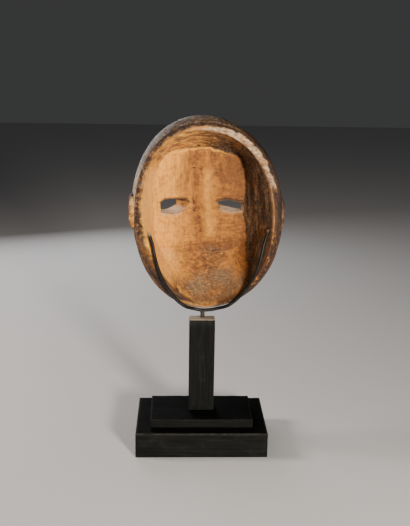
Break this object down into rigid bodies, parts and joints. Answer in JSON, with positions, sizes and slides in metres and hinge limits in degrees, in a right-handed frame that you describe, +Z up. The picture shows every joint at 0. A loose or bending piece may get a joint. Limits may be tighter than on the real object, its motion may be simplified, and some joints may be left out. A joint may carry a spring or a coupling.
{
  "type": "ngbaka mask",
  "caption": "Carved wooden face mask of Ngbaka style, hollow behind with eye slits, held in a bent rod cradle on a square post and a stepped dark base.",
  "frame": {"origin": "centre of the base's underside, on the surface it stands on", "axes": "+Z up, -Y the way the mask looks, +X to the right of someone who faces the mask"},
  "size_m": [0.2201, 0.1501, 0.4713],
  "materials": {
    "mask_wood": "hand carved, tan where cut inside, dark worn patina outside, kaolin traces in the slits",
    "rod_steel": "blackened, satin, rubbed bright at the tips",
    "stand_wood": "ebonised, waxed to a satin shine"
  },
  "bodies": {
    "root": {"mask": "mask_wood", "rod_cradle": "rod_steel", "post": "stand_wood", "upper_slab": "stand_wood", "lower_slab": "stand_wood"}
  },
  "joints": []
}
